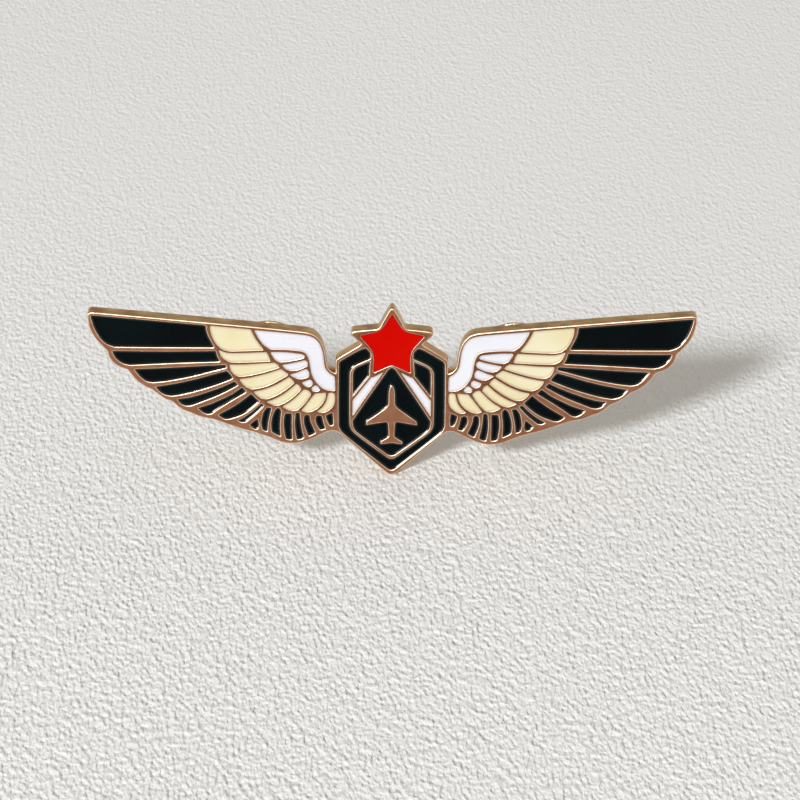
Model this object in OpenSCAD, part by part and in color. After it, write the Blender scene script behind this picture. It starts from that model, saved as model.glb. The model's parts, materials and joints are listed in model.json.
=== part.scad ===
// Pilot wings pin: a die-struck plate with coloured enamel cells, two soldered
// posts on its back and a butterfly clutch on each post.
// X runs along the wings, Z is up as worn, the face looks towards -Y and the flat
// back is at Y = 0. The origin is on the back, midway between the two posts.

/* [Plate] */
// Thickness from the flat back to the tops of the metal ridges
plate_thick = 2.2; // [1.6:0.1:3.0]
// Depth of the enamel cells below the ridge tops
cell_depth = 0.5; // [0.3:0.05:0.8]
// How far the enamel stays below the ridge tops
enamel_drop = 0.1; // [0.05:0.01:0.2]
// Radius that softens the corners of the cells
cell_corner = 0.14; // [0.05:0.01:0.25]

/* [Star] */
// Height of the middle of the star above the posts
star_z = 3.1; // [3.0:0.1:3.5]

/* [Shield] */
// Half the width of the shield
shield_half = 6.95; // [6.8:0.05:7.1]
// Width of the metal lines in the shield
line_width = 0.4; // [0.3:0.01:0.45]

/* [Posts] */
// Distance between the two posts
post_gap = 30.6; // [26:0.1:33]
// Radius of a post
post_r = 0.55; // [0.5:0.01:0.6]
// Length of a post from the back of the plate to its point
post_length = 8.2; // [7.6:0.1:9.5]
// Radius of the spread foot that is soldered to the plate
foot_r = 1.25; // [1.0:0.05:1.5]

/* [Clutches] */
// Radius of the dished disc
cap_r = 5.3; // [5.0:0.1:5.8]
// Thickness of the disc's sheet
cap_sheet = 0.36; // [0.3:0.02:0.4]
// Radial gap between a post and the hole of its clutch
post_play = 0.07; // [0.04:0.01:0.1]
// Width of the two squeeze ears
ear_width = 3.3; // [2.8:0.1:3.4]
// Lean of an ear away from the post
ear_lean = 42; // [36:1:46]

/* [Hidden] */
floor_y = plate_thick - cell_depth;
enamel_thick = cell_depth - enamel_drop;
hole_r = post_r + post_play;
groove_r = post_r - 0.13;
groove_h = 3.2;
cap_h = 0.5;
seat_h = 1.0;
cage_h = seat_h + cap_sheet;
pivot_x = 1.95;
pivot_h = 3.0;
knuckle_r = 0.42;
cheek_y = ear_width / 2 + 0.12;
sheet = 0.3;
stub_r = 0.2;
jaw_width = 2.4;
tab_length = 5.4;
gold = [0.80, 0.62, 0.38];
black = [0.03, 0.035, 0.04];
cream = [0.95, 0.88, 0.70];
white = [0.94, 0.93, 0.97];
red = [0.83, 0.06, 0.02];
brass = [0.78, 0.65, 0.36];
solder = [0.62, 0.60, 0.56];
$fn = 48;

// ---- curve helpers: an outline is a list of smooth runs that meet at corners ----

// One point of a smooth curve through b and c, with a before and d after them
function between(a, b, c, d, t) =
  0.5 * (2 * b + (c - a) * t + (2 * a - 5 * b + 4 * c - d) * t * t
    + (3 * b - a - 3 * c + d) * t * t * t);

// A smooth run through its points, without the last one; two points make a straight line
function run(p, n = 2) =
  len(p) == 2 ? [p[0]] :
  [for (i = [0 : len(p) - 2], k = [0 : n - 1])
    between(i == 0 ? 2 * p[0] - p[1] : p[i - 1], p[i], p[i + 1],
      i == len(p) - 2 ? 2 * p[i + 1] - p[i] : p[i + 2], k / n)];

// A closed outline from its runs; each run starts where the one before it ends
function outline(runs, n = 2) = [for (r = runs) each run(r, n)];

// A smooth closed curve through its points
function loop(p) =
  [for (i = [0 : len(p) - 1], k = [0, 0.5])
    let (n = len(p))
    between(p[(i + n - 1) % n], p[i], p[(i + 1) % n], p[(i + 2) % n], k)];

function turn(a, b, c) =
  acos(max(-1, min(1, (b - a) * (c - b) / (norm(b - a) * norm(c - b)))));

// The same outline with its sharp corners cut to a small curve of radius about r
function soften(p, r) =
  [for (i = [0 : len(p) - 1])
    let (n = len(p), a = p[(i + n - 1) % n], b = p[i], c = p[(i + 1) % n])
    each turn(a, b, c) < 32 ? [b] :
      let (cut = min(r, 0.45 * norm(b - a), 0.45 * norm(c - b)),
        u = b + (a - b) * cut / norm(a - b),
        v = b + (c - b) * cut / norm(c - b))
      [u, (u + 2 * b + v) / 4, v]];

function cell(runs) = soften(outline(runs), cell_corner);
function flip(p) = [for (i = [len(p) - 1 : -1 : 0]) [-p[i][0], p[i][1]]];

// ---- the right wing, X from the middle of the pin to the tip ----

wing_edge = outline([
  [[6.0, -8.83], [6.5, -8.35], [7.1, -8.12], [7.9, -8.22], [9.0, -8.75], [10.4, -9.42],
    [12.0, -9.8], [13.6, -9.62], [15.2, -8.98], [16.9, -8.4], [18.6, -7.92],
    [20.3, -7.32], [22.0, -6.72], [23.6, -6.38], [24.8, -5.86]],
  [[24.8, -5.86], [25.7, -5.52], [26.5, -4.98], [27.1, -4.42]],
  [[27.1, -4.42], [28.0, -4.05], [28.9, -3.42], [29.6, -2.85]],
  [[29.6, -2.85], [30.5, -2.42], [31.4, -1.75], [32.1, -0.95], [32.6, -0.25]],
  [[32.6, -0.25], [33.6, 0.1], [34.4, 0.68], [34.92, 1.45], [35.1, 2.2]],
  [[35.1, 2.2], [35.9, 3.0], [36.7, 4.0], [37.22, 5.05], [37.46, 6.1], [37.5, 6.85],
    [37.3, 7.15], [36.9, 7.24]],
  [[36.9, 7.24], [30.0, 6.66], [23.0, 6.03], [16.0, 5.4], [11.4, 4.93], [10.2, 4.74],
    [9.4, 4.35], [8.75, 3.6], [8.35, 2.6], [8.15, 1.6], [8.0, 0.6], [7.75, 0.05],
    [7.4, -0.28], [shield_half, -0.5]]]);

black_1 = cell([
  [[36.95, 6.84], [30.0, 6.24], [22.95, 5.62]],
  [[22.95, 5.62], [22.88, 4.95], [22.65, 4.2], [22.3, 3.5], [21.95, 2.76]],
  [[21.95, 2.76], [34.1, 2.76]],
  [[34.1, 2.76], [35.0, 3.05], [35.75, 3.65], [36.35, 4.55], [36.8, 5.6], [37.1, 6.7]],
  [[37.1, 6.7], [36.95, 6.84]]]);
black_2 = cell([
  [[34.5, 2.2], [28.0, 2.18], [21.72, 2.28]],
  [[21.72, 2.28], [21.55, 1.6], [21.22, 0.93]],
  [[21.22, 0.93], [27.0, 0.68], [32.2, 0.4]],
  [[32.2, 0.4], [33.0, 0.55], [33.7, 0.95], [34.2, 1.5], [34.5, 2.2]]]);
black_3 = cell([
  [[31.75, -0.16], [28.0, 0.02], [24.0, 0.28], [20.5, 0.48]],
  [[20.5, 0.48], [20.4, 0.12]],
  [[20.4, 0.12], [22.0, -0.3], [24.0, -0.86], [26.0, -1.33], [28.0, -1.7], [29.5, -1.86]],
  [[29.5, -1.86], [30.3, -1.7], [31.0, -1.15], [31.45, -0.62], [31.75, -0.16]]]);
black_4 = cell([
  [[29.15, -2.46], [28.0, -2.25], [26.0, -1.86], [24.0, -1.36], [22.0, -0.76], [20.35, -0.3]],
  [[20.35, -0.3], [19.95, -0.75], [19.62, -1.28]],
  [[19.62, -1.28], [21.0, -1.86], [22.5, -2.43], [24.2, -2.97], [26.0, -3.43], [27.2, -3.62]],
  [[27.2, -3.62], [28.0, -3.46], [28.65, -3.05], [29.15, -2.46]]]);
black_5 = cell([
  [[26.5, -4.06], [25.0, -3.84], [23.2, -3.27], [21.5, -2.64], [20.2, -2.06], [19.42, -1.66]],
  [[19.42, -1.66], [18.98, -2.14]],
  [[18.98, -2.14], [20.2, -2.84], [21.5, -3.52], [23.0, -4.16], [24.7, -4.84]],
  [[24.7, -4.84], [25.4, -4.9], [26.05, -4.62], [26.5, -4.06]]]);
black_6 = cell([
  [[23.95, -5.2], [22.6, -4.76], [21.2, -4.12], [19.8, -3.4], [18.5, -2.46]],
  [[18.5, -2.46], [17.95, -3.02]],
  [[17.95, -3.02], [19.2, -3.8], [20.5, -4.64], [21.4, -5.26], [22.2, -5.86]],
  [[22.2, -5.86], [22.75, -5.98], [23.4, -5.7], [23.95, -5.2]]]);
black_7 = cell([
  [[21.45, -6.1], [20.2, -5.38], [19.0, -4.6], [18.0, -3.82], [17.35, -3.28]],
  [[17.35, -3.28], [16.9, -3.76], [16.36, -4.3]],
  [[16.36, -4.3], [17.2, -5.1], [18.1, -5.78], [19.0, -6.24], [20.1, -6.62]],
  [[20.1, -6.62], [20.7, -6.58], [21.45, -6.1]]]);
black_8 = cell([
  [[19.0, -6.82], [18.0, -6.22], [17.0, -5.42], [16.12, -4.55]],
  [[16.12, -4.55], [15.78, -4.78]],
  [[15.78, -4.78], [16.5, -5.62], [17.3, -6.36], [18.1, -6.98]],
  [[18.1, -6.98], [18.55, -7.02], [19.0, -6.82]]]);

short_0 = cell([[[16.6, -6.55], [17.55, -7.36]],
  [[17.55, -7.36], [17.25, -7.72], [16.8, -7.94]],
  [[16.8, -7.94], [16.5, -7.75], [16.44, -7.1], [16.6, -6.55]]]);
short_1 = cell([[[15.42, -5.06], [15.82, -5.65], [16.04, -6.5], [16.1, -7.3], [15.96, -7.98]],
  [[15.96, -7.98], [15.38, -8.24]],
  [[15.38, -8.24], [15.3, -7.2], [15.12, -6.2], [14.85, -5.14]],
  [[14.85, -5.14], [15.42, -5.06]]]);
short_2 = cell([[[14.0, -5.1], [14.4, -5.4], [14.74, -6.3], [14.88, -7.3], [14.8, -8.3]],
  [[14.8, -8.3], [13.74, -8.84]],
  [[13.74, -8.84], [13.82, -7.6], [13.76, -6.5], [13.68, -5.5], [14.0, -5.1]]]);
short_3 = cell([[[13.2, -5.84], [13.34, -6.9], [13.28, -8.0], [13.06, -9.2]],
  [[13.06, -9.2], [12.3, -9.28]],
  [[12.3, -9.28], [12.36, -8.0], [12.36, -6.9], [12.34, -5.84]],
  [[12.34, -5.84], [13.2, -5.84]]]);
short_4 = cell([[[11.84, -5.74], [11.94, -6.8], [11.9, -8.0], [11.68, -9.24]],
  [[11.68, -9.24], [11.3, -9.2], [10.84, -9.0]],
  [[10.84, -9.0], [11.1, -8.0], [11.26, -6.9], [11.36, -5.74]],
  [[11.36, -5.74], [11.84, -5.74]]]);
short_5 = cell([[[10.78, -6.12], [10.84, -6.8], [10.7, -7.6], [10.24, -8.8]],
  [[10.24, -8.8], [9.42, -8.36]],
  [[9.42, -8.36], [9.74, -7.6], [10.02, -6.9], [10.14, -6.12]],
  [[10.14, -6.12], [10.46, -5.98], [10.78, -6.12]]]);
short_6 = cell([[[9.34, -6.2], [9.4, -6.75], [9.2, -7.35], [8.84, -7.94]],
  [[8.84, -7.94], [8.2, -7.82]],
  [[8.2, -7.82], [8.42, -7.1], [8.62, -6.2]],
  [[8.62, -6.2], [9.0, -6.04], [9.34, -6.2]]]);
short_7 = cell([[[8.14, -6.06], [7.98, -6.7], [7.66, -7.36]],
  [[7.66, -7.36], [7.24, -7.34]],
  [[7.24, -7.34], [7.24, -6.5], [7.32, -5.7]],
  [[7.32, -5.7], [8.14, -6.06]]]);

cream_1 = cell([
  [[22.4, 5.57], [20.0, 5.36], [17.44, 5.12]],
  [[17.44, 5.12], [17.12, 4.4], [16.65, 3.6], [15.86, 2.5]],
  [[15.86, 2.5], [18.0, 2.38], [19.9, 2.32]],
  [[19.9, 2.32], [20.8, 2.5], [21.5, 3.05], [22.02, 3.9], [22.32, 4.8], [22.4, 5.57]]]);
cream_2 = cell([
  [[21.34, 2.4], [20.6, 2.12], [19.8, 2.0], [18.0, 2.05], [15.5, 2.16]],
  [[15.5, 2.16], [15.24, 1.7], [15.02, 1.04]],
  [[15.02, 1.04], [17.0, 0.94], [19.0, 0.88], [20.0, 0.92]],
  [[20.0, 0.92], [20.7, 1.28], [21.1, 1.8], [21.34, 2.4]]]);
cream_3 = cell([
  [[20.02, 0.48], [18.0, 0.52], [16.0, 0.68], [14.5, 0.76]],
  [[14.5, 0.76], [14.15, 0.55], [13.92, 0.22]],
  [[13.92, 0.22], [15.0, -0.14], [16.4, -0.56], [17.8, -0.88], [18.9, -0.98]],
  [[18.9, -0.98], [19.45, -0.7], [19.85, -0.15], [20.02, 0.48]]]);
cream_4 = cell([
  [[18.76, -1.4], [17.5, -1.2], [16.2, -0.86], [15.0, -0.5], [13.7, -0.05]],
  [[13.7, -0.05], [13.25, -0.35], [12.78, -0.7]],
  [[12.78, -0.7], [13.7, -1.3], [15.0, -2.02], [16.2, -2.44], [17.3, -2.62]],
  [[17.3, -2.62], [18.0, -2.34], [18.45, -1.9], [18.76, -1.4]]]);
cream_5 = cell([
  [[17.0, -3.02], [15.8, -2.74], [14.5, -2.2], [13.5, -1.62], [12.7, -1.1]],
  [[12.7, -1.1], [12.35, -1.38], [12.08, -1.78]],
  [[12.08, -1.78], [12.8, -2.44], [13.7, -3.08], [14.6, -3.6], [15.4, -3.9]],
  [[15.4, -3.9], [16.1, -3.84], [16.6, -3.5], [17.0, -3.02]]]);
cream_6 = cell([
  [[15.4, -4.34], [14.5, -3.98], [13.5, -3.42], [12.6, -2.72], [11.78, -1.98]],
  [[11.78, -1.98], [11.42, -2.22], [11.2, -2.66]],
  [[11.2, -2.66], [11.9, -3.38], [12.7, -4.04], [13.4, -4.48], [14.0, -4.72]],
  [[14.0, -4.72], [14.5, -4.74], [15.4, -4.34]]]);
cream_7 = cell([
  [[13.46, -4.92], [12.6, -4.38], [11.9, -3.8], [11.3, -3.16], [10.86, -2.7]],
  [[10.86, -2.7], [10.36, -2.8], [9.98, -3.22]],
  [[9.98, -3.22], [10.4, -3.92], [10.9, -4.6], [11.6, -5.3]],
  [[11.6, -5.3], [12.2, -5.42], [12.9, -5.26], [13.46, -4.92]]]);
cream_8 = cell([
  [[11.12, -5.42], [10.5, -4.6], [10.0, -3.92], [9.44, -3.22]],
  [[9.44, -3.22], [8.8, -3.16], [8.16, -3.1]],
  [[8.16, -3.1], [8.28, -3.84], [8.66, -4.56], [9.3, -5.18], [10.0, -5.52]],
  [[10.0, -5.52], [10.6, -5.6], [11.12, -5.42]]]);
cream_9 = cell([
  [[9.16, -5.56], [8.5, -4.96], [8.06, -4.2], [7.8, -3.16]],
  [[7.8, -3.16], [7.4, -3.08], [7.1, -3.22]],
  [[7.1, -3.22], [7.06, -4.1], [7.3, -4.84], [7.9, -5.42], [8.5, -5.66]],
  [[8.5, -5.66], [9.16, -5.56]]]);

white_arm = cell([
  [[16.92, 5.02], [14.5, 4.82], [12.4, 4.62], [10.9, 4.44], [10.1, 4.27], [9.45, 3.92],
    [8.95, 3.3], [8.62, 2.4], [8.46, 1.4], [8.34, 0.5], [8.08, -0.12], [7.66, -0.58],
    [7.08, -0.96]],
  [[7.08, -0.96], [7.02, -2.76]],
  [[7.02, -2.76], [7.7, -2.74], [8.4, -2.52], [9.0, -2.06], [9.5, -1.42], [9.86, -0.6],
    [10.04, 0.3], [10.22, 1.3], [10.6, 2.04], [11.3, 2.4], [12.4, 2.52], [13.6, 2.6],
    [15.0, 2.62]],
  [[15.0, 2.62], [15.7, 3.1], [16.32, 3.86], [16.92, 5.02]]]);
white_2 = cell([
  [[14.94, 2.16], [13.6, 2.18], [12.3, 2.08], [11.1, 1.92]],
  [[11.1, 1.92], [10.8, 1.7], [10.92, 1.46]],
  [[10.92, 1.46], [11.8, 1.24], [12.8, 1.04], [13.8, 0.94]],
  [[13.8, 0.94], [14.4, 1.26], [14.94, 2.16]]]);
white_3 = cell([
  [[13.5, 0.5], [12.5, 0.7], [11.6, 0.9], [10.74, 1.14]],
  [[10.74, 1.14], [10.42, 0.86], [10.5, 0.42]],
  [[10.5, 0.42], [11.1, 0.1], [11.8, -0.12], [12.5, -0.18]],
  [[12.5, -0.18], [13.05, 0.02], [13.5, 0.5]]]);
white_4 = cell([
  [[12.54, -0.74], [11.8, -0.52], [11.2, -0.24], [10.56, 0.0]],
  [[10.56, 0.0], [10.26, -0.4], [10.26, -0.96]],
  [[10.26, -0.96], [10.9, -1.2], [11.7, -1.22], [12.54, -0.74]]]);
white_5 = cell([
  [[11.04, -1.76], [10.6, -1.56], [10.1, -1.38]],
  [[10.1, -1.38], [9.82, -1.66], [9.84, -2.06]],
  [[9.84, -2.06], [10.3, -2.28], [10.76, -2.14], [11.04, -1.76]]]);
white_6 = cell([
  [[9.5, -2.16], [9.16, -2.26], [8.88, -2.72]],
  [[8.88, -2.72], [9.3, -2.9], [9.8, -2.82]],
  [[9.8, -2.82], [9.86, -2.44], [9.5, -2.16]]]);

short_feathers = [short_0, short_1, short_2, short_3, short_4, short_5, short_6, short_7];
white_coverts = [white_2, white_3, white_4, white_5, white_6];
wing_cells = concat([black_1, black_2, black_3, black_4, black_5, black_6, black_7, black_8,
  cream_1, cream_2, cream_3, cream_4, cream_5, cream_6, cream_7, cream_8, cream_9,
  white_arm], short_feathers, white_coverts);

// ---- the star: half of one point from its tip towards the notch, used ten times ----

// Distance along the point from the middle of the star, and to its side
red_half = [[4.12, 0], [4.02, 0.15], [3.8, 0.28], [3.3, 0.58], [2.8, 0.88], [2.4, 1.16]];
rim_half = [[4.88, 0], [4.82, 0.22], [4.55, 0.42], [3.9, 0.78], [3.3, 1.1], [2.75, 1.38]];
red_notch = 2.55;
rim_notch = 2.84;
// The rim reaches further at the tips of the two side points
side_reach = 0.4;
point_angle = [90, 162, 237, 303, 378, 450];
function star_point(p, side, k) =
  let (a = point_angle[k])
  [p[0] * cos(a) - side * p[1] * sin(a), star_z + p[0] * sin(a) + side * p[1] * cos(a)];
function notch(r, k) =
  let (a = (point_angle[k] + point_angle[k + 1]) / 2)
  [r * cos(a), star_z + r * sin(a)];
function longer(p, k, extra) =
  k == 1 || k == 4 ? [p[0] + extra * max(0, p[0] - 2.6) / 2.28, p[1]] : p;
function star(half, notch_r, extra) = loop([for (k = [0 : 4])
  each concat([for (i = [len(half) - 1 : -1 : 1]) star_point(longer(half[i], k, extra), -1, k)],
    [for (i = [0 : len(half) - 1]) star_point(longer(half[i], k, extra), 1, k)],
    [notch(notch_r, k)])]);
red_edge = star(red_half, red_notch, 0);

// ---- the shield: its right half from the top down; the left half is its mirror ----

function halves(p) = soften(concat(p, flip(p)), 0.3);
ring_outline = halves([[3.0, 2.86], [3.9, 2.56], [shield_half - 0.42, 0.98],
  [shield_half - 0.42, -7.26], [6.36, -7.86], [5.94, -8.42], [0.68, -12.86], [0.2, -13.19]]);
field_half = 4.8;
function field_outline(out) =
  halves([[1.0, 1.75 + out], [2.4, 1.15 + out], [4.3, 0.3 + 0.9 * out],
    [4.66 + 0.8 * out, -0.06 + 0.6 * out], [field_half + out, -0.6],
    [field_half + out, -7.1], [4.62 + 0.9 * out, -7.8 - 0.2 * out],
    [4.16 + 0.6 * out, -8.32 - 0.6 * out], [0.3, -11.28 - 1.18 * out]]);

// The edge of the whole plate: up the right side from the tip of the shield, round the
// wing, up the shield to the star's right arm, over the arm to the star's top
star_edge = star(rim_half, rim_notch, side_reach);
plate_half = concat([[0.22, -13.84], [0.72, -13.48]], wing_edge,
  [[shield_half, -0.5], [shield_half, 1.28], [3.72, 3.35]],
  [for (i = [100 : 119]) star_edge[i]], [for (i = [0 : 9]) star_edge[i]]);
plate_edge = soften(concat(plate_half, [star_edge[10]], flip(plate_half)), 0.3);

// Straight band on the right, from under the star to the side of the shield: the two
// ends of its lower edge, then of its upper edge
low = [[0.26, 1.0], [5.26, -6.72]];
top = [[0.96, 1.0], [5.26, -4.68]];
// The step from an edge to a line beside it
function beside(e, w) = w * [e[0][1] - e[1][1], e[1][0] - e[0][0]] / norm(e[1] - e[0]);
low_line = -beside(low, line_width);
top_line = beside(top, line_width);
// Where the line below the bands meets the middle of the shield
low_top = (low[0] + low_line)[1]
  - (low[0] + low_line)[0] * (low[1][1] - low[0][1]) / (low[1][0] - low[0][0]);

// Plain aeroplane seen from above, nose up: its right half
plane_half = [[0.0, -2.0], [0.2, -2.25], [0.36, -2.9], [0.42, -4.6], [0.78, -5.05],
  [3.1, -6.8], [3.16, -7.3], [0.66, -6.85], [0.44, -7.0], [0.34, -8.8], [1.36, -9.45],
  [1.36, -9.82], [0.24, -9.66]];
plane_outline = soften(concat(plane_half, flip([for (i = [1 : 12]) plane_half[i]])), 0.12);

// ---- solids of the face ----

module face(thick) { rotate([90, 0, 0]) linear_extrude(thick) children(); }
module raise(depth) { translate([0, -depth, 0]) children(); }
module enamel(paint) { color(paint) raise(floor_y) face(enamel_thick) children(); }
module left() { mirror([1, 0, 0]) children(); }

module star_rim_shape() { polygon(star_edge); }
module plane_shape() { polygon(plane_outline); }
module field_part(area) {
  difference() {
    intersection() {
      polygon(field_outline(0));
      polygon(area);
    }
    star_rim_shape();
  }
}
module ring_shape() {
  difference() {
    polygon(ring_outline);
    polygon(field_outline(line_width));
    star_rim_shape();
  }
}
module band_shape() { field_part([low[0], low[1], top[1], top[0]]); }
module corner_shape() { field_part([top[0] + top_line, top[1] + top_line, [6, 3], [1.6, 3]]); }
module centre_shape() {
  difference() {
    field_part([[0, low_top], low[1] + low_line, [6, -12], [-6, -12],
      [-low[1][0] - low_line[0], low[1][1] + low_line[1]]]);
    plane_shape();
  }
}
module pocket() { raise(floor_y) face(plate_thick) children(); }
module wing_pockets() { for (c = wing_cells) pocket() polygon(c); }
module shield_pockets() {
  pocket() band_shape();
  pocket() corner_shape();
}

module badge_plate() {
  color(gold) difference() {
    face(plate_thick) polygon(plate_edge);
    wing_pockets();
    left() wing_pockets();
    pocket() polygon(red_edge);
    pocket() ring_shape();
    shield_pockets();
    left() shield_pockets();
    pocket() centre_shape();
  }
}

module right_black_feather_1() { enamel(black) polygon(black_1); }
module right_black_feather_2() { enamel(black) polygon(black_2); }
module right_black_feather_3() { enamel(black) polygon(black_3); }
module right_black_feather_4() { enamel(black) polygon(black_4); }
module right_black_feather_5() { enamel(black) polygon(black_5); }
module right_black_feather_6() { enamel(black) polygon(black_6); }
module right_black_feather_7() { enamel(black) polygon(black_7); }
module right_black_feather_8() { enamel(black) polygon(black_8); }
module right_short_feathers() { for (c = short_feathers) enamel(black) polygon(c); }
module right_cream_feather_1() { enamel(cream) polygon(cream_1); }
module right_cream_feather_2() { enamel(cream) polygon(cream_2); }
module right_cream_feather_3() { enamel(cream) polygon(cream_3); }
module right_cream_feather_4() { enamel(cream) polygon(cream_4); }
module right_cream_feather_5() { enamel(cream) polygon(cream_5); }
module right_cream_feather_6() { enamel(cream) polygon(cream_6); }
module right_cream_feather_7() { enamel(cream) polygon(cream_7); }
module right_cream_feather_8() { enamel(cream) polygon(cream_8); }
module right_cream_feather_9() { enamel(cream) polygon(cream_9); }
module right_white_shoulder() { enamel(white) polygon(white_arm); }
module right_white_coverts() { for (c = white_coverts) enamel(white) polygon(c); }

module red_star() { enamel(red) polygon(red_edge); }
module shield_ring() { enamel(black) ring_shape(); }
module shield_right_corner() { enamel(black) corner_shape(); }
module shield_right_band() { enamel(white) band_shape(); }
module shield_centre() { enamel(black) centre_shape(); }

// ---- the fastening, drawn upright with the plate's back at Z = 0, then laid along +Y ----

module behind(x) { translate([x, 0, 0]) rotate([-90, 0, 0]) children(); }

// The jaws drop into the post's groove when cloth lies under the clutch
module post() {
  color(brass) rotate_extrude()
    polygon([[0, 0], [foot_r, 0], [foot_r, 0.22], [foot_r - 0.1, 0.32], [post_r + 0.1, 0.36],
      [post_r, 0.5], [post_r, groove_h - 0.3], [groove_r, groove_h], [post_r, groove_h + 0.3],
      [post_r, post_length - 1.3], [post_r - 0.12, post_length - 0.6],
      [0.12, post_length - 0.06], [0, post_length]]);
}
module solder_ring() {
  color(solder) rotate_extrude()
    polygon([[foot_r, 0], [foot_r + 0.7, 0], [foot_r + 0.36, 0.08], [foot_r + 0.12, 0.19],
      [foot_r, 0.22]]);
}
module right_post() { behind(post_gap / 2) post(); }
module left_post() { behind(-post_gap / 2) post(); }
module post_solder() {
  behind(post_gap / 2) solder_ring();
  behind(-post_gap / 2) solder_ring();
}

module clutch_cap() {
  color(brass) rotate_extrude()
    polygon([[hole_r, seat_h], [2.9, seat_h], [3.3, seat_h - 0.08], [4.5, cap_h + 0.14],
      [4.9, cap_h], [cap_r - 0.12, cap_h], [cap_r, cap_h + 0.12], [cap_r, cap_h + 0.3],
      [cap_r - 0.12, cap_h + 0.42], [cap_r - 0.3, cap_h + 0.42],
      [4.62, cap_h + 0.14 + cap_sheet], [3.4, seat_h + cap_sheet - 0.06],
      [2.95, seat_h + cap_sheet], [hole_r, seat_h + cap_sheet]]);
}

// Folded cage on the cap: a base with the post hole and two cheeks that hold the ears
module cheek() {
  rotate([90, 0, 0]) translate([0, 0, -sheet / 2]) linear_extrude(sheet) difference() {
    polygon([[-2.2, cage_h], [2.2, cage_h], [2.5, pivot_h], [2.36, pivot_h + 0.36],
      [pivot_x, pivot_h + 0.5], [-pivot_x, pivot_h + 0.5], [-2.36, pivot_h + 0.36],
      [-2.5, pivot_h]]);
    translate([-1.0, cage_h + 0.7]) square([2.0, 0.7]);
    for (s = [-1, 1]) translate([s * pivot_x, pivot_h]) circle(r = stub_r + 0.05);
  }
}
module clutch_cage() {
  color(brass) difference() {
    union() {
      translate([-2.2, -cheek_y - sheet, cage_h]) cube([4.4, 2 * (cheek_y + sheet), sheet]);
      translate([0, cheek_y + sheet / 2, 0]) cheek();
      translate([0, -cheek_y - sheet / 2, 0]) cheek();
    }
    translate([0, 0, cage_h - 1]) cylinder(r = hole_r, h = 3);
  }
}

// One squeeze ear on the +X side of the post: knuckle, stubs, finger tab and jaw
module ear() {
  color(brass) difference() {
    union() {
      translate([pivot_x, ear_width / 2, pivot_h]) rotate([90, 0, 0])
        cylinder(r = knuckle_r, h = ear_width);
      translate([pivot_x, cheek_y + sheet, pivot_h]) rotate([90, 0, 0])
        cylinder(r = stub_r, h = 2 * (cheek_y + sheet));
      translate([pivot_x, 0, pivot_h]) rotate([0, ear_lean, 0]) rotate([90, 0, 90])
        translate([0, 0, knuckle_r - sheet]) linear_extrude(sheet)
          polygon([for (a = [0 : 15 : 180])
            [ear_width / 2 * cos(a), tab_length - ear_width / 2 * (1 - sin(a))],
            [-ear_width / 2, 0], [ear_width / 2, 0]]);
      translate([0, jaw_width / 2, 0]) rotate([90, 0, 0]) linear_extrude(jaw_width)
        polygon([[0.3, 2.04], [0.95, 2.04], [pivot_x, pivot_h - 0.38], [pivot_x - 0.1, pivot_h],
          [pivot_x - 0.36, pivot_h], [0.86, 2.04 + sheet], [0.3, 2.04 + sheet]]);
    }
    cylinder(r = hole_r, h = 6);
  }
}

module right_clutch_cap() { behind(post_gap / 2) clutch_cap(); }
module right_clutch_cage() { behind(post_gap / 2) clutch_cage(); }
module right_clutch_outer_ear() { behind(post_gap / 2) ear(); }
module right_clutch_inner_ear() { behind(post_gap / 2) left() ear(); }

// ---- the left half: the right half mirrored ----

module left_black_feather_1() { left() right_black_feather_1(); }
module left_black_feather_2() { left() right_black_feather_2(); }
module left_black_feather_3() { left() right_black_feather_3(); }
module left_black_feather_4() { left() right_black_feather_4(); }
module left_black_feather_5() { left() right_black_feather_5(); }
module left_black_feather_6() { left() right_black_feather_6(); }
module left_black_feather_7() { left() right_black_feather_7(); }
module left_black_feather_8() { left() right_black_feather_8(); }
module left_short_feathers() { left() right_short_feathers(); }
module left_cream_feather_1() { left() right_cream_feather_1(); }
module left_cream_feather_2() { left() right_cream_feather_2(); }
module left_cream_feather_3() { left() right_cream_feather_3(); }
module left_cream_feather_4() { left() right_cream_feather_4(); }
module left_cream_feather_5() { left() right_cream_feather_5(); }
module left_cream_feather_6() { left() right_cream_feather_6(); }
module left_cream_feather_7() { left() right_cream_feather_7(); }
module left_cream_feather_8() { left() right_cream_feather_8(); }
module left_cream_feather_9() { left() right_cream_feather_9(); }
module left_white_shoulder() { left() right_white_shoulder(); }
module left_white_coverts() { left() right_white_coverts(); }
module shield_left_corner() { left() shield_right_corner(); }
module shield_left_band() { left() shield_right_band(); }
module left_clutch_cap() { left() right_clutch_cap(); }
module left_clutch_cage() { left() right_clutch_cage(); }
module left_clutch_outer_ear() { left() right_clutch_outer_ear(); }
module left_clutch_inner_ear() { left() right_clutch_inner_ear(); }

badge_plate();
left_black_feather_1();
left_black_feather_2();
left_black_feather_3();
left_black_feather_4();
left_black_feather_5();
left_black_feather_6();
left_black_feather_7();
left_black_feather_8();
left_short_feathers();
left_cream_feather_1();
left_cream_feather_2();
left_cream_feather_3();
left_cream_feather_4();
left_cream_feather_5();
left_cream_feather_6();
left_cream_feather_7();
left_cream_feather_8();
left_cream_feather_9();
left_white_shoulder();
left_white_coverts();
right_black_feather_1();
right_black_feather_2();
right_black_feather_3();
right_black_feather_4();
right_black_feather_5();
right_black_feather_6();
right_black_feather_7();
right_black_feather_8();
right_short_feathers();
right_cream_feather_1();
right_cream_feather_2();
right_cream_feather_3();
right_cream_feather_4();
right_cream_feather_5();
right_cream_feather_6();
right_cream_feather_7();
right_cream_feather_8();
right_cream_feather_9();
right_white_shoulder();
right_white_coverts();
red_star();
shield_ring();
shield_left_corner();
shield_right_corner();
shield_left_band();
shield_right_band();
shield_centre();
left_post();
right_post();
post_solder();
left_clutch_cap();
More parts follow.
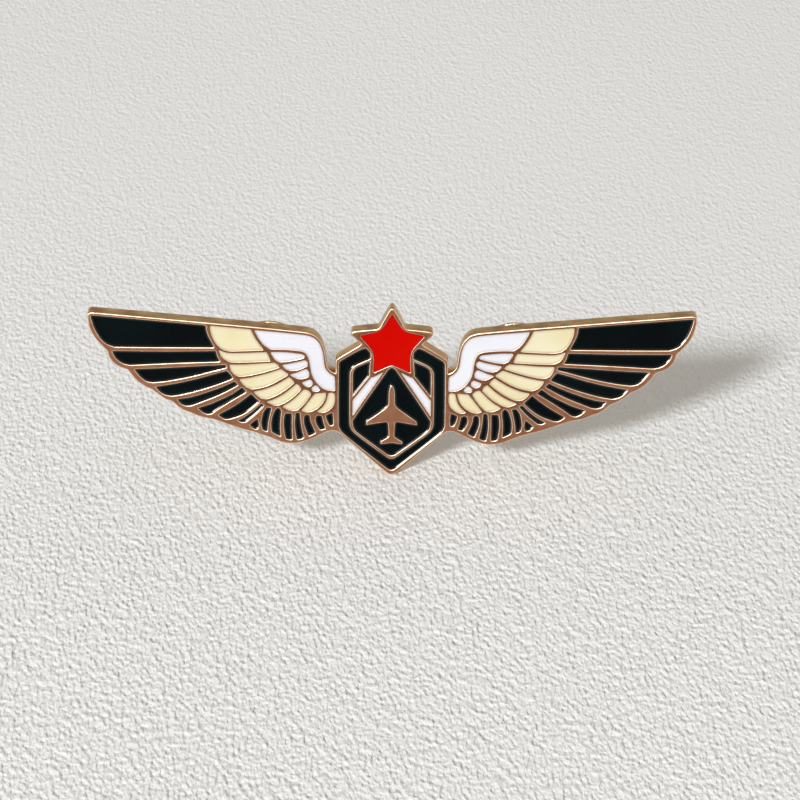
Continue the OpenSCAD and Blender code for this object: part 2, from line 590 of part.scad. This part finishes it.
left_clutch_cage();
left_clutch_outer_ear();
left_clutch_inner_ear();
right_clutch_cap();
right_clutch_cage();
right_clutch_outer_ear();
right_clutch_inner_ear();
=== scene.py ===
"""Pilot wings pin: enamel, plated metal and clutches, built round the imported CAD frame.

Meshes are worked out in mm. Materials, floor, lights and camera are in metres.
"""
import json
import math

import bmesh
import bpy
import numpy as np
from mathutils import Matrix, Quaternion, Vector
from mathutils.geometry import delaunay_2d_cdt


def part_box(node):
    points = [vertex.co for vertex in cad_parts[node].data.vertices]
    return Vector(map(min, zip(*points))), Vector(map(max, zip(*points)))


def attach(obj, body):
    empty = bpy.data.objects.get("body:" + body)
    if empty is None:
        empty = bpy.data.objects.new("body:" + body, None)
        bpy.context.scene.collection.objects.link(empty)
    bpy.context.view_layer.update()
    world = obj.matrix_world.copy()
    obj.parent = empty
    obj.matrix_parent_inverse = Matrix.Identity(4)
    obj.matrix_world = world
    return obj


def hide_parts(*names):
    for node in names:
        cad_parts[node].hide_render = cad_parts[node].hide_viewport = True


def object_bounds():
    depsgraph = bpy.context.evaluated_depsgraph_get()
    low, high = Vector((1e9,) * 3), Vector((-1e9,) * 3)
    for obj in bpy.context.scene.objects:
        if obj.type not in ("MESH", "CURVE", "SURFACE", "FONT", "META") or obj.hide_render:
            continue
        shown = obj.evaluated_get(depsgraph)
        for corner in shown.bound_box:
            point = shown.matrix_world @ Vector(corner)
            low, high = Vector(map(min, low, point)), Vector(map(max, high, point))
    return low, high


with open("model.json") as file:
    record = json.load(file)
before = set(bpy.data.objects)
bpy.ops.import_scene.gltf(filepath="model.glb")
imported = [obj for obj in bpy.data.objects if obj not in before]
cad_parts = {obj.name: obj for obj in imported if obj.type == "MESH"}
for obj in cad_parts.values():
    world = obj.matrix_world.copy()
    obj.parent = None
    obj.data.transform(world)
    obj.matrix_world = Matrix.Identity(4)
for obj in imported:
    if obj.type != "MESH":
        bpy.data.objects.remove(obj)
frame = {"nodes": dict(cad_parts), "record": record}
cad_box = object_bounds()
MM = 0.001

WELD = 1e-7                      # metres within which points of the CAD mesh are one
CREASE = math.radians(34)        # edges that turn more than this stay crisp
TINY = 1e-12                     # keeps a division from meeting zero

# The struck plate, mm. A rounding is its depth, its width and its steps.
PLATE_SPACING = 0.3
RIM_ROUNDING = (0.14, 0.12, 4)
BLACK_ROUNDING = (0.10, 0.09, 4)
PALE_ROUNDING = (0.05, 0.05, 3)
BACK_ROUNDING = (0.07, 0.07, 3)
BACK_MARGIN = 0.1                # where the outer wall ends, from the back
RIDGE_TOP, EDGE, BACK, OUTER_WALL = range(4)    # the plate's materials

# The enamel, mm
ENAMEL_SPACING = 0.11
RING_INSETS = (0.05, 0.11, 0.19)
RING_CLEARANCE = 0.042           # ring points nearer to an edge than this are left out
GRID_SPACING = 0.2
GRID_CLEARANCE = 0.24
POINT_GAP = 0.05
SAG_REACH = 0.8
RIPPLE_HEIGHT, RIPPLE_REACH = 0.012, 0.3
SHADE_REACH = 0.22
NUDGE = 0.01                     # step used to measure a slope or a direction

# ---------------------------------------------------------------- outlines

def box_mm(node):
    lo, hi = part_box(node)
    return np.array(lo) / MM, np.array(hi) / MM


def front_loops(node):
    """Edges of the node's front face as closed (x, z) loops, with the solid on the left of each."""
    bm = bmesh.new()
    bm.from_mesh(frame["nodes"][node].data)
    bmesh.ops.remove_doubles(bm, verts=bm.verts, dist=WELD)
    front = min(v.co.y for v in bm.verts)
    faces = {f for f in bm.faces
             if f.normal.y < -0.99 and abs(f.calc_center_median().y - front) < 0.02 * MM}
    step = {}
    for f in faces:
        for l in f.loops:
            if not any(g in faces for g in l.edge.link_faces if g is not f):
                step[l.vert.index] = l.link_loop_next.vert.index
    bm.verts.ensure_lookup_table()
    loops = []
    while step:
        start = min(step)
        at, loop = start, []
        while at in step:
            co = bm.verts[at].co
            loop.append((co.x / MM, co.z / MM))
            at = step.pop(at)
        loops.append(np.array(loop))
    bm.free()
    return loops


def unit(v):
    return v / np.maximum(np.linalg.norm(v, axis=-1, keepdims=True), TINY)


def refine(p, step):
    """The same loop with points every step or less, on a smooth curve where the loop turns no corner."""
    into, out = unit(p - np.roll(p, 1, 0)), unit(np.roll(p, -1, 0) - p)
    smooth = (into * out).sum(1) > math.cos(math.radians(36))
    along = unit(np.roll(p, -1, 0) - np.roll(p, 1, 0))
    made = []
    for i in range(len(p)):
        j = (i + 1) % len(p)
        chord = p[j] - p[i]
        size = np.linalg.norm(chord)
        m0 = along[i] * size if smooth[i] else chord
        m1 = along[j] * size if smooth[j] else chord
        n = max(1, math.ceil(size / step))
        for k in range(n):
            t = k / n
            made.append((2 * t**3 - 3 * t**2 + 1) * p[i] + (t**3 - 2 * t**2 + t) * m0
                        + (3 * t**2 - 2 * t**3) * p[j] + (t**3 - t**2) * m1)
    return np.array(made)


def shifted(p, d):
    """The loop moved by d to its left."""
    e = unit(np.roll(p, -1, 0) - p)
    after = np.stack([-e[:, 1], e[:, 0]], 1)
    mitre = unit(np.roll(after, 1, 0) + after)
    return p + d * mitre / np.maximum((mitre * after).sum(1), 0.5)[:, None]


def area(p):
    q = np.roll(p, -1, 0)
    return 0.5 * float((p[:, 0] * q[:, 1] - q[:, 0] * p[:, 1]).sum())


def inside(points, loops):
    """Which points lie inside the loops, counting a loop inside another as a hole."""
    a = np.concatenate(loops)
    b = np.concatenate([np.roll(l, -1, 0) for l in loops])
    hit = np.zeros(len(points), bool)
    for s in range(0, len(points), 2000):
        x, z = points[s:s + 2000, 0, None], points[s:s + 2000, 1, None]
        cross = (a[:, 1] > z) != (b[:, 1] > z)
        dz = np.where(b[:, 1] == a[:, 1], TINY, b[:, 1] - a[:, 1])
        at = a[:, 0] + (z - a[:, 1]) / dz * (b[:, 0] - a[:, 0])
        hit[s:s + 2000] = (cross & (x < at)).sum(1) % 2 == 1
    return hit


def edge_distance(points, loops):
    """Distance of each point from the loops, and the direction from the nearest edge to the point."""
    a = np.concatenate(loops)
    d = np.concatenate([np.roll(l, -1, 0) for l in loops]) - a
    dd = np.maximum((d * d).sum(1), TINY)
    away = np.zeros((len(points), 2))
    for s in range(0, len(points), 1500):
        r = points[s:s + 1500, None, :] - a
        t = np.clip((r * d).sum(2) / dd, 0, 1)
        r = r - t[..., None] * d
        away[s:s + 1500] = r[np.arange(len(r)), (r * r).sum(2).argmin(1)]
    return np.linalg.norm(away, axis=1), unit(away)


def fill(loops, extra=None):
    """Triangles between the loops, and the points that they index: the loops' in order, then the extra."""
    pts = np.concatenate(loops + ([extra] if extra is not None and len(extra) else []))
    edges, base = [], 0
    for l in loops:
        n = len(l)
        edges += [(base + i, base + (i + 1) % n) for i in range(n)]
        base += n
    out = delaunay_2d_cdt([Vector(p) for p in pts], edges, [], 1, 1e-7)
    back = [o[0] if o else None for o in out[3]]
    tris = []
    for f in out[2]:
        t = [back[i] for i in f]
        if None not in t and len(set(t)) == 3:
            tris.append(t)
    tris = np.array(tris)
    tris = tris[inside(pts[tris].mean(1), loops)]
    u, v = pts[tris[:, 1]] - pts[tris[:, 0]], pts[tris[:, 2]] - pts[tris[:, 0]]
    turned = u[:, 0] * v[:, 1] - u[:, 1] * v[:, 0] < 0
    tris[turned] = tris[turned][:, ::-1]
    return tris, pts


# ---------------------------------------------------------------- mesh making

def make_object(name, verts, faces, materials, sharp, shade, index=None, front=None):
    """A mesh object from verts in mm. sharp holds the vertex pairs whose edge stays crisp, and shade a value
    for each vertex. index is the material of each face, and front the normals of the vertices of faces that
    look forward."""
    mesh = bpy.data.meshes.new(name)
    mesh.from_pydata((np.array(verts) * MM).tolist(), [], [list(map(int, f)) for f in faces])
    for m in materials:
        mesh.materials.append(m)
    if index is not None:
        mesh.polygons.foreach_set("material_index", np.array(index, np.int32))
    mesh.polygons.foreach_set("use_smooth", np.ones(len(mesh.polygons), bool))
    bm = bmesh.new()
    bm.from_mesh(mesh)
    bmesh.ops.recalc_face_normals(bm, faces=bm.faces)
    for e in bm.edges:
        ends = tuple(sorted((e.verts[0].index, e.verts[1].index)))
        if ends in sharp or len(e.link_faces) == 2 and e.calc_face_angle(0) > CREASE:
            e.smooth = False
    bm.to_mesh(mesh)
    bm.free()
    values = mesh.attributes.new("shade", "FLOAT", "POINT").data
    values.foreach_set("value", np.array(shade, np.float32))
    mesh.validate()
    if front is not None:
        normals = np.zeros((len(mesh.loops), 3))
        for f in mesh.polygons:
            if f.normal.y < -0.3:
                for k in f.loop_indices:
                    normals[k] = front[mesh.loops[k].vertex_index]
        mesh.normals_split_custom_set(normals.tolist())
    o = bpy.data.objects.new(name, mesh)
    bpy.context.scene.collection.objects.link(o)
    return o


def rounded(depth, width, steps):
    """(inset, depth) pairs of a quarter round from a flat top down to a wall."""
    return [(width * (1 - math.sin(a)), depth * (1 - math.cos(a)))
            for a in (math.pi / 2 * k / steps for k in range(steps + 1))]


def cell_slots():
    """Middle, area and material slot of every outline of an enamel node."""
    cells = []
    for node, slot in slot_of.items():
        if slot in ENAMELS:
            cells += [(l.mean(0), abs(area(l)), slot) for l in front_loops(node)]
    return cells


def struck_plate(materials):
    """The die-struck plate: flat ridge tops, a rounded edge on every ridge, pockets, outer wall and back."""
    lo, hi = box_mm("badge_plate")
    front, back = lo[1], hi[1]
    floor = box_mm("red_star")[1][1]    # enamel fills its pocket down to the floor
    outlines = front_loops("badge_plate")
    loops = [refine(l, PLATE_SPACING) for l in outlines]
    rim = max(range(len(loops)), key=lambda i: abs(area(loops[i])))
    cells = cell_slots()
    verts, faces, index, shade, sharp, base = [], [], [], [], set(), 0
    tops, floors, top_at, floor_at = [], [], [], []
    for i, l in enumerate(loops):
        middle, size = outlines[i].mean(0), abs(area(outlines[i]))
        slot = min(cells, key=lambda c: np.linalg.norm(c[0] - middle) + abs(c[1] - size))[2]
        pale = i != rim and slot != "black_enamel"
        rounding = RIM_ROUNDING if i == rim else PALE_ROUNDING if pale else BLACK_ROUNDING
        profile = [(w, front + d) for w, d in rounded(*rounding)]
        if i == rim:
            profile.append((0, back - BACK_MARGIN))
            profile += [(w, back - d) for w, d in rounded(*BACK_ROUNDING)[::-1]]
        else:
            profile.append((0, floor))
        n = len(l)
        rings = []
        for w, y in profile:
            q = shifted(l, w)
            rings.append(base)
            verts += [(x, y, z) for x, z in q]
            # shade marks the ridges next to pale cells, whose tops get a painted dark reflection
            shade += [1.0 if pale else 0.0] * n
            base += n
        for j, (a, b) in enumerate(zip(rings, rings[1:])):
            for k in range(n):
                m = (k + 1) % n
                faces.append((a + k, b + k, b + m, a + m))
                index.append(OUTER_WALL if i == rim and j >= RIM_ROUNDING[2] else EDGE)
        for r in (rings[0], rings[-1]):
            sharp |= {tuple(sorted((r + k, r + (k + 1) % n))) for k in range(n)}
        tops.append(shifted(l, profile[0][0]))
        top_at += range(rings[0], rings[0] + n)
        if i == rim:
            back_ring = (shifted(l, profile[-1][0]), rings[-1])
        else:
            floors.append(l)
            floor_at += range(rings[-1], rings[-1] + n)
    tris, _ = fill(tops)
    faces += [tuple(top_at[i] for i in t) for t in tris]
    index += [RIDGE_TOP] * len(tris)
    tris, _ = fill(floors)
    faces += [tuple(floor_at[i] for i in t) for t in tris]
    index += [EDGE] * len(tris)
    ring, start = back_ring
    tris, _ = fill([ring])
    faces += [tuple(start + i for i in t[::-1]) for t in tris]
    index += [BACK] * len(tris)
    return make_object("struck_plate", verts, faces, materials, sharp, shade, index=index)


def hex_grid(lo, hi, h):
    """Points between two corners in rows of triangles with sides of about h."""
    rows = np.arange(lo[1], hi[1], h * 0.866)
    cols = np.arange(lo[0], hi[0], h)
    return np.array([(x + (h / 2 if k % 2 else 0), z) for k, z in enumerate(rows) for x in cols])


def thinned(points, gap):
    """The points in order, leaving out any that falls in the same small square as one already kept."""
    seen, keep = set(), []
    for i, p in enumerate(points):
        key = (round(p[0] / gap), round(p[1] / gap))
        if key not in seen:
            seen.add(key)
            keep.append(i)
    return points[keep]


def ripple(x, z, seed):
    """A slow smooth unevenness between about -1 and 1."""
    return (math.sin(seed) * np.sin(0.9 * x + 1.3 * z + seed) + 0.6 * np.sin(1.7 * z - 0.8 * x + 2.1 * seed)
            + 0.5 * np.cos(2.3 * x + 0.7 * z + 0.7 * seed)) / 2


def enamel_piece(node, slot, material, depth, climb, reach, sag):
    """Enamel that fills the node's cells. It lies depth below the ridge tops, climbs the metal round its
    edge, with the climb dying out over reach, and sags in the middle."""
    bottom = box_mm(node)[1][1]
    plate_front = box_mm("badge_plate")[0][1]
    loops = [refine(l, ENAMEL_SPACING) for l in front_loops(node)]
    outers = [l for l in loops if area(l) > 0]
    verts, faces, sharp, shade, normals, base = [], [], set(), [], [], 0
    for o in outers:
        group = [o] + [l for l in loops if area(l) < 0 and inside(l[:1], [o])[0]]
        seed = float(o[:, 0].mean() * 1.7 + o[:, 1].mean() * 2.3)
        n_edge = sum(map(len, group))
        rings = np.concatenate([shifted(l, d)[::2] for d in RING_INSETS for l in group])
        grid = hex_grid(o.min(0), o.max(0), GRID_SPACING)
        rings = rings[(edge_distance(rings, group)[0] > RING_CLEARANCE) & inside(rings, group)]
        grid = grid[(edge_distance(grid, group)[0] > GRID_CLEARANCE) & inside(grid, group)]
        extra = thinned(np.concatenate([rings, grid]), POINT_GAP)
        tris, pts = fill(group, extra)
        far, away = edge_distance(pts, group)
        far[:n_edge] = 0
        away[:n_edge] = np.concatenate([unit(shifted(l, NUDGE) - l) for l in group])

        def uneven(x, z):
            return RIPPLE_HEIGHT * ripple(x, z, seed) * (1 - np.exp(-far / RIPPLE_REACH))

        x, z = pts.T
        near, bowl = np.exp(-far / reach), np.exp(-(far / SAG_REACH) ** 2)
        drop = depth - climb * near + sag * (1 - bowl) + uneven(x, z)
        slope = climb / reach * near + sag * far / (SAG_REACH ** 2 / 2) * bowl
        tilt_x = slope * away[:, 0] + (uneven(x + NUDGE, z) - uneven(x - NUDGE, z)) / (2 * NUDGE)
        tilt_z = slope * away[:, 1] + (uneven(x, z + NUDGE) - uneven(x, z - NUDGE)) / (2 * NUDGE)
        normals += unit(np.stack([tilt_x, -np.ones(len(pts)), tilt_z], 1)).tolist()
        normals += [(0, 0, 0)] * n_edge
        verts += [(x, plate_front + d, z) for (x, z), d in zip(pts, drop)]
        faces += [tuple(base + i for i in t) for t in tris]
        # shade is how near the edge a point lies; it drives the painted rim shade and the stronger
        # reflections at the edge
        shade += list(np.exp(-far / SHADE_REACH))
        low = base + len(pts)
        verts += [(x, bottom, z) for x, z in pts[:n_edge]]
        shade += [1.0] * n_edge
        start = 0
        for l in group:
            n = len(l)
            for k in range(n):
                a, b = start + k, start + (k + 1) % n
                faces.append((base + a, low + a, low + b, base + b))
                sharp |= {tuple(sorted((base + a, base + b))), tuple(sorted((low + a, low + b)))}
            start += n
        under, _ = fill(group)
        faces += [tuple(low + i for i in t[::-1]) for t in under]
        base = low + n_edge
    o = make_object(node + "_fill", verts, faces, [material], sharp, shade, front=normals)
    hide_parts(node)
    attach(o, "badge")


def metal_piece(node, material, body, width):
    """The node's own shape with its sharp edges rounded to a width in mm."""
    bm = bmesh.new()
    bm.from_mesh(frame["nodes"][node].data)
    bmesh.ops.remove_doubles(bm, verts=bm.verts, dist=WELD)
    bmesh.ops.dissolve_limit(bm, angle_limit=math.radians(0.5), verts=bm.verts, edges=bm.edges)
    edges = [e for e in bm.edges if len(e.link_faces) == 2 and e.calc_face_angle(0) > math.radians(38)]
    bmesh.ops.bevel(bm, geom=edges, offset=width * MM, segments=2, profile=0.5, affect="EDGES",
                    clamp_overlap=True)
    bmesh.ops.remove_doubles(bm, verts=bm.verts, dist=2 * WELD)
    bmesh.ops.triangulate(bm, faces=[f for f in bm.faces if len(f.verts) > 4])
    for f in bm.faces:
        f.smooth = True
    for e in bm.edges:
        if len(e.link_faces) == 2 and e.calc_face_angle(0) > CREASE:
            e.smooth = False
    mesh = bpy.data.meshes.new(node + "_metal")
    bm.to_mesh(mesh)
    bm.free()
    mesh.materials.append(material)
    o = bpy.data.objects.new(node + "_metal", mesh)
    bpy.context.scene.collection.objects.link(o)
    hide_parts(node)
    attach(o, body)


# ---------------------------------------------------------------- materials

class Nodes:
    """Small helper that adds nodes to a new material."""

    def __init__(self, name):
        self.mat = bpy.data.materials.new(name)
        self.mat.use_nodes = True
        self.tree = self.mat.node_tree
        self.bsdf = self.tree.nodes["Principled BSDF"]
        self.coord = self.tree.nodes.new("ShaderNodeTexCoord").outputs["Object"]

    def add(self, kind, **inputs):
        node = self.tree.nodes.new(kind)
        for key, value in inputs.items():
            socket = node.inputs[key.replace("_", " ")]
            if isinstance(value, bpy.types.NodeSocket):
                self.tree.links.new(value, socket)
            else:
                socket.default_value = value
        return node

    def noise(self, scale, detail=3.0, stretch=(1, 1, 1), rough=0.5):
        where = self.add("ShaderNodeMapping", Vector=self.coord, Scale=stretch)
        return self.add("ShaderNodeTexNoise", Vector=where.outputs[0], Scale=scale, Detail=detail,
                        Roughness=rough).outputs["Fac"]

    def ramp(self, value, low, high, start, end):
        """Values from start at low to end at high."""
        node = self.add("ShaderNodeMapRange", Value=value)
        for key, v in (("From Min", low), ("From Max", high), ("To Min", start), ("To Max", end)):
            node.inputs[key].default_value = v
        return node.outputs["Result"]

    def mix(self, factor, a, b):
        node = self.tree.nodes.new("ShaderNodeMix")
        node.data_type = "RGBA"
        for socket, value in ((node.inputs[0], factor), (node.inputs[6], a), (node.inputs[7], b)):
            if isinstance(value, bpy.types.NodeSocket):
                self.tree.links.new(value, socket)
            else:
                socket.default_value = (*value, 1) if isinstance(value, tuple) else value
        return node.outputs[2]

    def bump(self, height, strength, distance, normal=None):
        node = self.add("ShaderNodeBump", Height=height, Strength=strength, Distance=distance)
        if normal is not None:
            self.tree.links.new(normal, node.inputs["Normal"])
        return node.outputs["Normal"]

    def set(self, **inputs):
        for key, value in inputs.items():
            socket = self.bsdf.inputs[key.replace("_", " ")]
            if isinstance(value, bpy.types.NodeSocket):
                self.tree.links.new(value, socket)
            else:
                socket.default_value = (*value, 1) if isinstance(value, tuple) and len(value) == 3 else value
        return self.mat


def plated(name, dark, light, rough, grain, scratch, painted_dark_reflection=None, along=(0.12, 1, 1.6)):
    """Plated metal: cloudy tone, fine polishing scratches and a faint grain. rough is the range of the
    roughness, painted_dark_reflection a painted dark reflection, the darker tone painted on the metal next
    to a pale cell, and along the stretch of the scratches."""
    n = Nodes(name)
    cloud = n.noise(420, 4)
    fine = n.noise(5200, 3)
    streak = n.noise(1500, 4, along, 0.62)
    colour = n.mix(n.ramp(cloud, 0.35, 0.65, 0, 1), dark, light)
    if painted_dark_reflection is not None:
        # Painted dark reflection: next to a pale cell the metal is painted darker.
        beside = n.add("ShaderNodeAttribute")
        beside.attribute_name = "shade"
        colour = n.mix(n.ramp(beside.outputs["Fac"], 0.1, 0.75, 0.0, 1.0), colour, painted_dark_reflection)
    tone = n.mix(n.ramp(streak, 0.4, 0.7, 0.0, 0.35), colour, tuple(min(1, c * 1.35) for c in light))
    roughness = n.ramp(n.noise(900, 3), 0.35, 0.7, *rough)
    normal = n.bump(streak, scratch, 0.00002)
    normal = n.bump(fine, grain, 0.000012, normal)
    return n.set(Base_Color=tone, Metallic=1.0, Roughness=roughness, Normal=normal)


def enamel(name, deep, light, rim, gloss, rim_gloss):
    """Glossy soft enamel: slight mottling, and a darker rim colour where it climbs the metal near the
    ridges, partly from the thinner enamel there and partly painted shade. gloss is the strength of its
    reflections in the middle of a cell, and rim_gloss that at the edge."""
    n = Nodes(name)
    body = n.mix(n.ramp(n.noise(170, 3), 0.35, 0.65, 0, 1), deep, light)
    fleck = n.mix(n.ramp(n.noise(700, 4), 0.5, 0.8, 0, 0.25), body, deep)
    near = n.add("ShaderNodeAttribute")
    near.attribute_name = "shade"
    # Near the ridges the colour turns to the darker rim colour: painted shade, and partly the thinner enamel
    # there.
    edge = n.ramp(near.outputs["Fac"], 0.25, 1.0, 0.0, 1.0)
    colour = n.mix(edge, fleck, rim)
    rough = n.ramp(n.noise(600, 3), 0.35, 0.7, 0.035, 0.075)
    normal = n.bump(n.noise(330, 2), 0.25, 0.00002)
    return n.set(Base_Color=colour, Roughness=rough, IOR=1.5, Normal=normal,
                 Specular_IOR_Level=n.ramp(near.outputs["Fac"], 0.3, 0.9, gloss, rim_gloss))


def dull_solder():
    """Solder that has set with a cloudy, uneven skin."""
    n = Nodes("solder_grey")
    colour = n.mix(n.ramp(n.noise(900, 4), 0.35, 0.65, 0, 1), (0.36, 0.35, 0.33), (0.62, 0.6, 0.56))
    return n.set(Base_Color=colour, Metallic=1.0, Roughness=n.ramp(n.noise(1500, 3), 0.3, 0.7, 0.35, 0.55),
                 Normal=n.bump(n.noise(1300, 4), 0.5, 0.00006))


def pale_leatherette():
    """Off-white leatherette with a fine grain, which is bumpier near the front."""
    n = Nodes("pale_leatherette")
    tone = n.mix(n.ramp(n.noise(9, 3), 0.3, 0.7, 0, 1), (0.905, 0.91, 0.905), (0.93, 0.935, 0.935))
    long_way = (1, 0.36, 1)
    where = n.add("ShaderNodeMapping", Vector=n.coord, Scale=long_way)
    cells = n.add("ShaderNodeTexVoronoi", Vector=where.outputs[0], Scale=2300.0)
    cells.feature = "SMOOTH_F1"
    folds = n.noise(1900, 2, long_way, 0.4)
    depth = n.add("ShaderNodeSeparateXYZ", Vector=n.coord).outputs["Y"]
    normal = n.bump(cells.outputs["Distance"], n.ramp(depth, -0.03, 0.12, 0.9, 0.4), 0.00025)
    normal = n.bump(folds, n.ramp(depth, -0.03, 0.12, 1.0, 0.4), 0.0004, normal)
    return n.set(Base_Color=tone, Roughness=0.62, Normal=normal)


# Painted dark reflection: the ridge tops are painted a dark rose brown, darker than the plating's own colour
# on its back, and darker still next to a pale cell.
ridge_tops_painted_dark = plated("plating_painted_dark_ridge_tops", dark=(0.25, 0.094, 0.049), light=(0.28, 0.14, 0.082),
                    rough=(0.26, 0.36), grain=0.25, scratch=0.3, painted_dark_reflection=(0.15, 0.062, 0.034))
# Painted reflection: the outer wall is painted a deeper, darker gold than the plating's own colour on its
# back.
wall_painted_reflection = plated("plating_outer_wall", dark=(0.34, 0.165, 0.04), light=(0.70, 0.44, 0.18),
                    rough=(0.2, 0.34), grain=0.3, scratch=0.8, along=(0.15, 2.2, 0.15))
ridge_edge = plated("plating_edges", dark=(0.70, 0.49, 0.33), light=(0.78, 0.60, 0.43),
                    rough=(0.38, 0.50), grain=0.2, scratch=0.2)
plate_back = plated("plating_back", dark=(0.74, 0.50, 0.28), light=(0.84, 0.60, 0.36),
                    rough=(0.34, 0.48), grain=0.9, scratch=0.5)
clutch_metal = plated("clutch_plating", dark=(0.76, 0.58, 0.30), light=(0.86, 0.68, 0.38),
                      rough=(0.18, 0.30), grain=0.3, scratch=0.4)
post_metal = plated("post_plating", dark=(0.74, 0.57, 0.31), light=(0.84, 0.67, 0.40),
                    rough=(0.2, 0.32), grain=0.3, scratch=0.4)
solder_metal = dull_solder()
# Each rim is the darker colour near the ridges: painted shade, and partly the thinner enamel there.
black = enamel("black_enamel", deep=(0.0006, 0.0014, 0.0017), light=(0.0008, 0.0030, 0.0034),
               rim=(0.0006, 0.0008, 0.0007), gloss=0.04, rim_gloss=0.8)
cream = enamel("cream_enamel", deep=(0.475, 0.415, 0.24), light=(0.505, 0.46, 0.325),
               rim=(0.34, 0.275, 0.18), gloss=0.2, rim_gloss=0.3)
white = enamel("white_enamel", deep=(0.475, 0.47, 0.50), light=(0.50, 0.495, 0.525),
               rim=(0.34, 0.33, 0.35), gloss=0.2, rim_gloss=0.3)
red = enamel("red_enamel", deep=(0.35, 0.0011, 0.0001), light=(0.375, 0.0018, 0.0002),
             rim=(0.25, 0.0011, 0.0001), gloss=0.02, rim_gloss=0.15)

# ---------------------------------------------------------------- the pin

ENAMELS = {
    "black_enamel": dict(material=black, depth=0.18, climb=0.115, reach=0.30, sag=0.0),
    "cream_enamel": dict(material=cream, depth=0.08, climb=0.035, reach=0.15, sag=0.02),
    "white_enamel": dict(material=white, depth=0.08, climb=0.035, reach=0.15, sag=0.025),
    "red_enamel": dict(material=red, depth=0.08, climb=0.035, reach=0.15, sag=0.03),
}
CLUTCH_ROUNDING = {"_clutch_cap": 0.07, "_clutch_cage": 0.06, "_clutch_outer_ear": 0.06,
                   "_clutch_inner_ear": 0.06}
POST_ROUNDING, SOLDER_ROUNDING = 0.04, 0.02
slot_of = {s["node"]: s["material_slot"] for s in frame["record"]["subparts"]}

plate = struck_plate([ridge_tops_painted_dark, ridge_edge, plate_back, wall_painted_reflection])
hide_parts("badge_plate")
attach(plate, "badge")

for node, slot in slot_of.items():
    if slot in ENAMELS:
        enamel_piece(node, slot, **ENAMELS[slot])

body_of_node = {n: b for b, ns in frame["record"]["behaviour"]["bodies"].items() for n in ns}
for side in ("left", "right"):
    metal_piece(side + "_post", post_metal, "badge", POST_ROUNDING)
    for part, width in CLUTCH_ROUNDING.items():
        metal_piece(side + part, clutch_metal, body_of_node[side + part], width)
metal_piece("post_solder", solder_metal, "badge", SOLDER_ROUNDING)

# ---------------------------------------------------------------- floor, light and camera

FLOOR_HALF = 3.0
HORIZON, OVERHEAD = (0.71, 0.673, 0.615, 1), (0.355, 0.334, 0.302, 1)
ELEVATION, ROLL = math.radians(20), math.radians(0.4)
DISTANCE = 0.75
WIDTHS_SHOWN = 1.318             # width of the view in widths of the pin
AIM_RIGHT, AIM_DOWN = 0.00103, 0.00102    # from the middle of the pin's front
SENSOR = 36                      # mm

lo, hi = (np.array(v) for v in cad_box)
middle = (lo + hi) / 2


def add_floor():
    """A flat floor that the pin's lowest point touches."""
    mesh = bpy.data.meshes.new("floor")
    s, z = FLOOR_HALF, float(lo[2])
    mesh.from_pydata([(-s, -s, z), (s, -s, z), (s, s, z), (-s, s, z)], [], [(0, 1, 2, 3)])
    mesh.materials.append(pale_leatherette())
    o = bpy.data.objects.new("floor", mesh)
    bpy.context.scene.collection.objects.link(o)


def add_light(name, towards, distance, size, watts, colour):
    """A round lamp seen from the pin in the direction towards, facing the pin."""
    data = bpy.data.lights.new(name, "AREA")
    data.shape, data.size, data.energy, data.color = "DISK", size, watts, colour
    o = bpy.data.objects.new(name, data)
    way = Vector(towards).normalized()
    o.location = Vector(middle) + way * distance
    o.rotation_mode = "QUATERNION"
    o.rotation_quaternion = (-way).to_track_quat("-Z", "Y")
    bpy.context.scene.collection.objects.link(o)


def studio_world():
    """Even light that is pale at the horizon and softer overhead."""
    world = bpy.data.worlds.new("studio")
    world.use_nodes = True
    tree = world.node_tree
    way = tree.nodes.new("ShaderNodeTexCoord")
    parts = tree.nodes.new("ShaderNodeSeparateXYZ")
    climb = tree.nodes.new("ShaderNodeMapRange")
    blend = tree.nodes.new("ShaderNodeMix")
    blend.data_type = "RGBA"
    tree.links.new(way.outputs["Generated"], parts.inputs[0])
    tree.links.new(parts.outputs["Z"], climb.inputs["Value"])
    climb.inputs["From Min"].default_value = 0.02
    climb.inputs["From Max"].default_value = 0.6
    tree.links.new(climb.outputs["Result"], blend.inputs[0])
    blend.inputs[6].default_value = HORIZON
    blend.inputs[7].default_value = OVERHEAD
    tree.links.new(blend.outputs[2], tree.nodes["Background"].inputs["Color"])
    bpy.context.scene.world = world


add_floor()
add_light("key", towards=(-0.64, -2.25, 1.0), distance=4.0, size=0.52, watts=181.0,
          colour=(0.955, 0.975, 1.0))
add_light("window", towards=(-0.42, -0.905, 0.055), distance=1.1, size=0.2, watts=3.2,
          colour=(0.96, 0.98, 1.0))
studio_world()

view_width = WIDTHS_SHOWN * float(hi[0] - lo[0])
cam_data = bpy.data.cameras.new("camera")
cam_data.sensor_width = SENSOR
cam_data.lens = SENSOR * DISTANCE / view_width
cam_data.clip_start, cam_data.clip_end = 0.01, 20
cam = bpy.data.objects.new("camera", cam_data)
bpy.context.scene.collection.objects.link(cam)
bpy.context.scene.camera = cam
aim = Vector((float(middle[0]) + AIM_RIGHT, float(lo[1]), float(middle[2]) - AIM_DOWN))
back = Vector((0, -math.cos(ELEVATION), math.sin(ELEVATION)))
cam.location = aim + back * DISTANCE
cam.rotation_mode = "QUATERNION"
cam.rotation_quaternion = (-back).to_track_quat("-Z", "Y") @ Quaternion((0, 0, 1), ROLL)

bpy.context.scene.view_settings.view_transform = "Standard"
